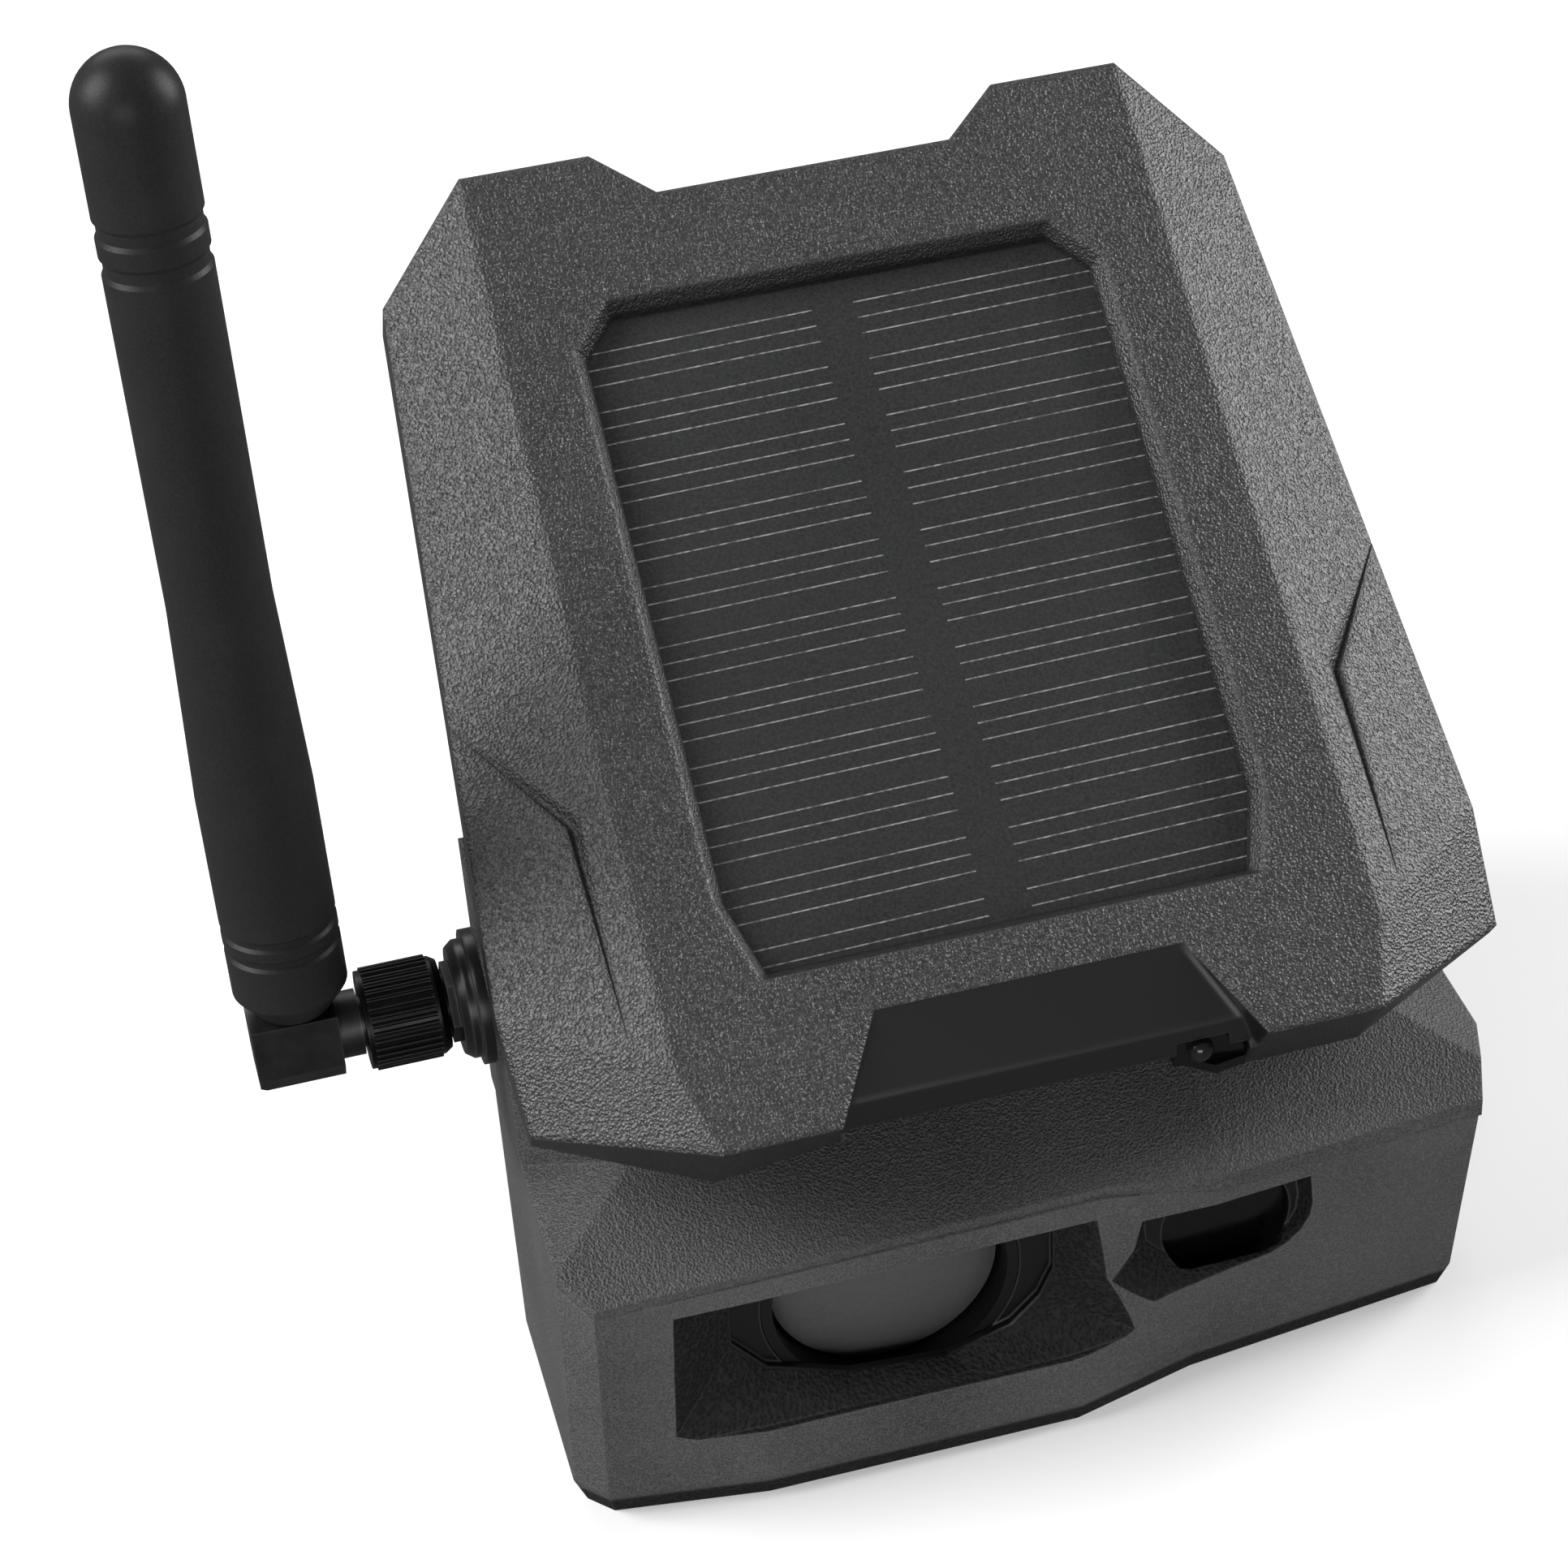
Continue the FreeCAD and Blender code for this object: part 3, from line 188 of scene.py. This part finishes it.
# Where the masks begin and end, in millimetres of the part's own frame.
BOSS_ROOT_X = -47.7
BOSS_LOWEST = 36.0
RECESSES_MIDDLE = (-5.5, 17.5)          # (x, z) of the stretch that holds both recesses
RECESSES_REACH = (34.0, 9.0)            # half its width and half its height
RECESS_FLOOR_Y = -37.1
WALL_SLOPE = -0.968                     # a wall's normal points less straight forward than this
LENS_FACE_BACK = -30.0
LIP_SHADE_HEIGHT = (2.1, 2.7)                 # the painted shade of the lip along the foot of the lens face fades out between these
NOTCH_HALF_WIDTH = 20.3
NOTCH_BACK = 1.8
NOTCH_TOP = -0.04


def on_boss(shader):
    """One on the smooth boss round the antenna jack."""
    split = shader.node("ShaderNodeSeparateXYZ", Vector=shader.position())
    outside = shader.math("LESS_THAN", split.outputs["X"], BOSS_ROOT_X * MM)
    high = shader.math("GREATER_THAN", split.outputs["Z"], BOSS_LOWEST * MM)
    return shader.math("MULTIPLY", outside, high)


def near_recesses(shader):
    """One within the stretch of the lens face that holds the two recesses."""
    place = shader.node("ShaderNodeSeparateXYZ", Vector=shader.position())
    x, z = RECESSES_MIDDLE
    half_width, half_height = RECESSES_REACH
    aside = shader.math("ABSOLUTE", shader.math("SUBTRACT", place.outputs["X"], x * MM))
    beside = shader.math("LESS_THAN", aside, half_width * MM)
    level = shader.math("ABSOLUTE", shader.math("SUBTRACT", place.outputs["Z"], z * MM))
    return shader.math("MULTIPLY", beside, shader.math("LESS_THAN", level, half_height * MM))


def on_recess_walls(shader):
    """One on the sloped walls of the two recesses."""
    normal = shader.node("ShaderNodeTexCoord").outputs["Normal"]
    facing = shader.node("ShaderNodeSeparateXYZ", Vector=normal)
    sloped = shader.math("GREATER_THAN", facing.outputs["Y"], WALL_SLOPE)
    return shader.math("MULTIPLY", sloped, near_recesses(shader))


def on_painted_shade_and_coarse_grain(shader):
    """One on the recess walls and on the lip along the foot of the lens face, where painted shade darkens
    the colour; on the lip it is all painted shade.
    """
    place = shader.node("ShaderNodeSeparateXYZ", Vector=shader.position())
    full, end = LIP_SHADE_HEIGHT
    low = shader.span(place.outputs["Z"], full * MM, end * MM, 1.0, 0.0)
    forward = shader.math("LESS_THAN", place.outputs["Y"], LENS_FACE_BACK * MM)
    lip_shade = shader.math("MULTIPLY", low, forward)
    return shader.math("MAXIMUM", lip_shade, on_recess_walls(shader))


def on_recess_floors(shader):
    """One behind the two recesses' walls, where the near-black colour is painted shade inside the
    recesses.
    """
    place = shader.node("ShaderNodeSeparateXYZ", Vector=shader.position())
    sunk = shader.math("GREATER_THAN", place.outputs["Y"], RECESS_FLOOR_Y * MM)
    return shader.math("MULTIPLY", sunk, near_recesses(shader))


def in_notch(shader):
    """One on the smooth sunken floor and bar at the front of the hood."""
    tilted = shader.node("ShaderNodeMapping", Vector=shader.position())
    tilted.vector_type = "TEXTURE"
    tilted.inputs["Location"].default_value = ROOF_ORIGIN
    tilted.inputs["Rotation"].default_value = (ROOF_TILT, 0, 0)
    split = shader.node("ShaderNodeSeparateXYZ", Vector=tilted.outputs[0])
    inside = shader.math("LESS_THAN", shader.math("ABSOLUTE", split.outputs["X"]), NOTCH_HALF_WIDTH * MM)
    sunk = shader.math("LESS_THAN", split.outputs["Z"], NOTCH_TOP * MM)
    front = shader.math("LESS_THAN", split.outputs["Y"], NOTCH_BACK * MM)
    return shader.math("MULTIPLY", shader.math("MULTIPLY", inside, sunk), front)


def soft_plastic(name, level, roughness):
    """Plain moulding with a faint satin mottle."""
    shader = Shader(name)
    mottle = shader.noise(2600.0, 3.0)
    shader.bump(mottle, 0.01 * MM)
    colour = shader.mix(shader.span(mottle, 0.3, 0.7), grey(level * 0.9), grey(level * 1.1))
    # Painted highlight: lighter along the edges.
    colour = shader.mix(shader.math("MULTIPLY", shader.edges(), 0.3), colour, grey(min(level * 2.0, 0.9)))
    gloss = shader.span(shader.noise(700.0, 2.0), 0.3, 0.7, roughness - 0.05, roughness + 0.05)
    return shader.finish(colour, gloss, Specular_IOR_Level=0.5)


def solar_face():
    """Dark resin over the cells, its fine prismatic grain with painted sparkle: glints that lighten the
    colour.
    """
    shader = Shader("solar_resin")
    grain = shader.noise(3400.0, 2.0)
    shader.bump(grain, 0.035 * MM)
    broad = shader.noise(28.0, 1.0)
    painted_sparkle = shader.span(grain, 0.3, 0.7, 0.0, 0.6)
    level = shader.math("ADD", painted_sparkle, shader.span(broad, 0.3, 0.7, 0.0, 0.4))
    colour = shader.mix(level, grey(0.012, -0.02), grey(0.042, -0.02))
    return shader.finish(colour, 0.45, Specular_IOR_Level=0.4)


def printed_lines():
    """Silver paste lines, a little uneven along their length."""
    shader = Shader("silver_lines")
    streak = shader.noise(1500.0, 2.0)
    colour = shader.mix(shader.span(streak, 0.35, 0.65), grey(0.09), grey(0.3))
    shader.bump(streak, 0.01 * MM)
    return shader.finish(colour, 0.5, Specular_IOR_Level=0.4)


def metal(name, level, roughness, warmth=0.0):
    """Brushed or plated metal, worn paler along its edges."""
    shader = Shader(name)
    brushed = shader.noise(900.0, 4.0)
    shader.bump(brushed, 0.004 * MM)
    dull = grey(level * 0.82, warmth)
    colour = shader.mix(shader.span(brushed, 0.3, 0.7), dull, grey(level * 1.05, warmth))
    edge_wear_and_highlight = shader.math("MULTIPLY", shader.edges(), 0.5)
    colour = shader.mix(edge_wear_and_highlight, colour, grey(min(level * 1.8 + 0.04, 0.9), warmth))
    gloss = shader.span(shader.noise(300.0, 2.0), 0.3, 0.7, roughness - 0.06, roughness + 0.06)
    return shader.finish(colour, gloss, Metallic=1.0)


def rubber(name, level, roughness):
    """Matt rubber skin with a little dust."""
    shader = Shader(name)
    skin = shader.noise(5200.0, 3.0)
    shader.bump(skin, 0.012 * MM)
    colour = shader.mix(shader.span(skin, 0.3, 0.7), grey(level * 0.85), grey(level * 1.15))
    dust = shader.math("MULTIPLY", shader.span(shader.noise(160.0, 4.0), 0.5, 0.8), 0.12)
    colour = shader.mix(dust, colour, grey(level * 2.4))
    gloss = shader.span(skin, 0.3, 0.7, roughness - 0.05, roughness + 0.05)
    return shader.finish(colour, gloss, Specular_IOR_Level=0.15)


def clear(name, tint, roughness):
    """Clear glass with a trace of haze."""
    shader = Shader(name)
    haze = shader.noise(900.0, 2.0)
    gloss = shader.span(haze, 0.3, 0.7, roughness, roughness + 0.05)
    return shader.finish((*tint, 1.0), gloss, Transmission_Weight=1.0, IOR=1.49)


def circuit(name):
    """Green solder mask with a faint weave and pale tracks."""
    shader = Shader(name)
    weave = shader.noise(1500.0, 1.0)
    tracks = shader.span(shader.cells(420.0, 0.2), 0.42, 0.5)
    colour = shader.mix(shader.math("MULTIPLY", tracks, 0.5), (0.01, 0.07, 0.03, 1), (0.06, 0.2, 0.09, 1))
    shader.bump(weave, 0.01 * MM)
    return shader.finish(colour, shader.span(weave, 0.3, 0.7, 0.28, 0.4))


def wrapped(name):
    """Blue film shrunk on a battery cell, with slight ripples."""
    shader = Shader(name)
    ripple = shader.noise(260.0, 3.0)
    shader.bump(ripple, 0.05 * MM)
    colour = shader.mix(shader.span(ripple, 0.3, 0.7), (0.02, 0.09, 0.24, 1), (0.03, 0.13, 0.32, 1))
    return shader.finish(colour, 0.3)


HOOD = moulded("hood_plastic", 0.01, 0.3, 0.11, 0.34, 1.0, 0.85, calm=in_notch)
CASE = moulded("case_plastic", 0.05, 0.27, 0.14, 0.5, 0.6, 0.5, calm=on_boss)
FACE = moulded("face_plastic", 0.055, 0.22, 0.06, 0.48, 0.4, 0.5,
               calm=on_recess_floors, shade_and_coarse_grain=on_painted_shade_and_coarse_grain)
BLACK = soft_plastic("black_plastic", 0.004, 0.5)
GLOSS = soft_plastic("gloss_black", 0.003, 0.2)
# Black lens window: a dark filter, its black also painted shade for the shadowed cavity behind it.
SHADED_FILTER = soft_plastic("filter_glass_painted_shade", 0.002, 0.15)
PIR = soft_plastic("lens_grey", 0.07, 0.5)
RUBBER = rubber("rubber_black", 0.015, 0.5)
SATIN = rubber("antenna_skin", 0.016, 0.42)
BLACK_METAL = metal("black_metal", 0.07, 0.45)
NUT_METAL = metal("nut_metal", 0.02, 0.4)
STEEL = metal("steel", 0.5, 0.28)
BRASS = metal("brass", 0.5, 0.25, warmth=0.28)
CLEAR = clear("optical_glass", (0.9, 0.95, 1.0), 0.02)
LED = soft_plastic("led_dark", 0.01, 0.15)
BOARD = circuit("circuit_board")
WRAP = wrapped("cell_wrap")
RESIN = solar_face()
LINES = printed_lines()
CARD = soft_plastic("card_grey", 0.25, 0.45)

MATERIAL_OF = {
    "roof_hood": HOOD, "front_shell": FACE, "top_shell": CASE, "rear_housing": CASE, "rear_door": CASE,
    "panel_laminate": RESIN, "solar_cells": RESIN, "panel_board": BOARD, "panel_gasket": RUBBER,
    "pir_lens": PIR, "pir_bezel": BLACK, "pir_sensor": STEEL, "lens_window": SHADED_FILTER,
    "lens_barrel": BLACK, "lens_glass": CLEAR, "lens_bezel": BLACK, "infrared_leds": LED,
    "sensor_board": BOARD, "status_window": GLOSS, "status_led": LED, "antenna_sheath": SATIN,
    "antenna_core": BRASS, "antenna_elbow": BLACK_METAL, "coupling_nut": NUT_METAL,
    "antenna_jack": NUT_METAL, "jack_nut": NUT_METAL, "door_gasket": RUBBER, "hinge_pin": STEEL,
    "door_latch": BLACK, "power_button": RUBBER, "power_switch": BLACK, "power_socket": BLACK,
    "socket_cover": RUBBER, "cover_pin": STEEL, "tripod_insert": BRASS, "main_board": BOARD,
    "modem": STEEL, "memory_card_slot": STEEL, "memory_card": BLACK, "sim_slot": STEEL,
    "sim_card": CARD, "battery_cells": WRAP, "battery_cradle": BLACK, "case_screws": STEEL,
    "hood_screws": STEEL, "board_screws": STEEL,
}


def dress_nodes():
    for name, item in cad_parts.items():
        item.data.materials.clear()
        item.data.materials.append(MATERIAL_OF[name])


# ---------------------------------------------------------------- mesh helpers
def new_piece(name, mesh, material, body):
    piece = bpy.data.objects.new(name, mesh)
    bpy.context.scene.collection.objects.link(piece)
    mesh.materials.append(material)
    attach(piece, body)
    return piece


def mesh_of(name, builder):
    mesh = bpy.data.meshes.new(name)
    form = bmesh.new()
    builder(form)
    bmesh.ops.recalc_face_normals(form, faces=form.faces)
    form.to_mesh(mesh)
    form.free()
    return mesh


# ---------------------------------------------------------------- silver lines on the solar panel
PANEL_LEVEL = -2.4              # the laminate's top face, off the roof plane
LINE_GROUPS = 11
LINES_IN_GROUP = 3
GROUP_PITCH = 6.17
LINE_GAP = 1.7
LINE_WIDTH = 0.14
LINE_SUNK = 0.05                # how far a line reaches into the laminate
LINE_RAISED = 0.02              # and how far it stands above it
FIRST_LINE = 72.0
LAST_LINE = 7.5
LINE_END = 27.6                 # the lines run on under the hood
MIDDLE_GAP = (-2.1, 2.1)
PATTERN_MIDDLE = 41.0
PATTERN_TWIST = math.radians(0.86)      # the pattern sits slightly askew in its window


def add_line(form, x0, x1, s):
    """A thin raised bar across the panel between two places on its width."""
    half = LINE_WIDTH / 2
    turn = Matrix.Rotation(PATTERN_TWIST, 3, "Z")
    corners = []
    for level in (PANEL_LEVEL - LINE_SUNK, PANEL_LEVEL + LINE_RAISED):
        for x, y in ((x0, s - half), (x1, s - half), (x1, s + half), (x0, s + half)):
            spot = turn @ Vector((x, y - PATTERN_MIDDLE, 0)) + Vector((0, PATTERN_MIDDLE, level))
            corners.append(form.verts.new(ROOF @ (spot * MM)))
    form.faces.new(corners[4:])
    for a in range(4):
        b = (a + 1) % 4
        form.faces.new((corners[a], corners[b], corners[b + 4], corners[a + 4]))


def panel_lines():
    def build(form):
        for group in range(LINE_GROUPS):
            for line in range(LINES_IN_GROUP):
                s = FIRST_LINE - group * GROUP_PITCH - line * LINE_GAP
                if s > LAST_LINE:
                    add_line(form, -LINE_END, MIDDLE_GAP[0], s)
                    add_line(form, MIDDLE_GAP[1], LINE_END, s)
    new_piece("panel_lines", mesh_of("panel_lines", build), LINES, "housing")


# ---------------------------------------------------------------- studio
WORLD_STRENGTH = 0.14
FLOOR_REACH = 1.5
FLOOR_GLOW = 0.32
# Each light's name, place, width and height, and power. The boxes each side and behind give the hood's
# facets their tones, and the fill lights the lens face.
LIGHTS = [
    ("left_softbox", (-0.72, 0.05, 0.64), (0.5, 0.6), 11.0),
    ("right_softbox", (0.88, 0.14, 0.38), (0.5, 0.65), 10.5),
    ("back_softbox", (0.0, 1.0, 0.7), (1.0, 0.5), 4.0),
    ("front_fill", (-0.35, -1.2, 0.32), (0.8, 0.4), 5.0),
]
LIGHT_TARGET = Vector((0, 0, 0.05))


def studio():
    bpy.context.scene.view_settings.view_transform = "Standard"
    world = bpy.data.worlds.new("studio")
    bpy.context.scene.world = world
    world.use_nodes = True
    background = world.node_tree.nodes["Background"]
    background.inputs["Color"].default_value = (1, 1, 1, 1)
    background.inputs["Strength"].default_value = WORLD_STRENGTH
    shader = Shader("floor")
    tone = shader.span(shader.noise(3.0, 2.0), 0.3, 0.7)
    material = shader.finish(shader.mix(tone, grey(0.64), grey(0.68)), 0.9, Emission_Strength=FLOOR_GLOW,
                             Emission_Color=(1, 1, 1, 1))

    def build(form):
        bmesh.ops.create_grid(form, x_segments=8, y_segments=8, size=FLOOR_REACH)
    mesh = mesh_of("floor", build)
    mesh.materials.append(material)
    floor = bpy.data.objects.new("floor", mesh)
    bpy.context.scene.collection.objects.link(floor)
    floor.visible_glossy = False    # dark studio in the reflections, as round the real product
    for name, place, size, power in LIGHTS:
        add_light(name, place, size, power)


def add_light(name, place, size, power):
    data = bpy.data.lights.new(name, "AREA")
    data.shape = "RECTANGLE"
    data.size, data.size_y = size
    data.energy = power
    lamp = bpy.data.objects.new(name, data)
    bpy.context.scene.collection.objects.link(lamp)
    lamp.location = place
    aim = LIGHT_TARGET - lamp.location
    lamp.rotation_mode = "QUATERNION"
    lamp.rotation_quaternion = aim.to_track_quat("-Z", "Y")


# The camera: its place, and where it looks as a compass heading from +Y, a tilt down and a roll.
CAMERA_PLACE = Vector((-77.4, -291.4, 281.4)) * MM
CAMERA_HEADING = math.radians(12.25)
CAMERA_TILT = math.radians(37.26)
CAMERA_ROLL = math.radians(4.27)
LENS_LENGTH = 87.6
SENSOR_WIDTH = 36.0


def camera():
    data = bpy.data.cameras.new("camera")
    data.sensor_width = SENSOR_WIDTH
    data.lens = LENS_LENGTH
    data.clip_start = 0.01
    viewer = bpy.data.objects.new("camera", data)
    bpy.context.scene.collection.objects.link(viewer)
    across = math.cos(CAMERA_TILT)
    look = Vector((across * math.sin(CAMERA_HEADING), across * math.cos(CAMERA_HEADING),
                   -math.sin(CAMERA_TILT)))
    level = Vector((math.cos(CAMERA_HEADING), -math.sin(CAMERA_HEADING), 0))
    upright = level.cross(look)
    right = level * math.cos(CAMERA_ROLL) - upright * math.sin(CAMERA_ROLL)
    up = upright * math.cos(CAMERA_ROLL) + level * math.sin(CAMERA_ROLL)
    turned = Matrix((right, up, -look)).transposed()
    viewer.matrix_world = Matrix.Translation(CAMERA_PLACE) @ turned.to_4x4()
    bpy.context.scene.camera = viewer


dress_nodes()
panel_lines()
studio()
camera()
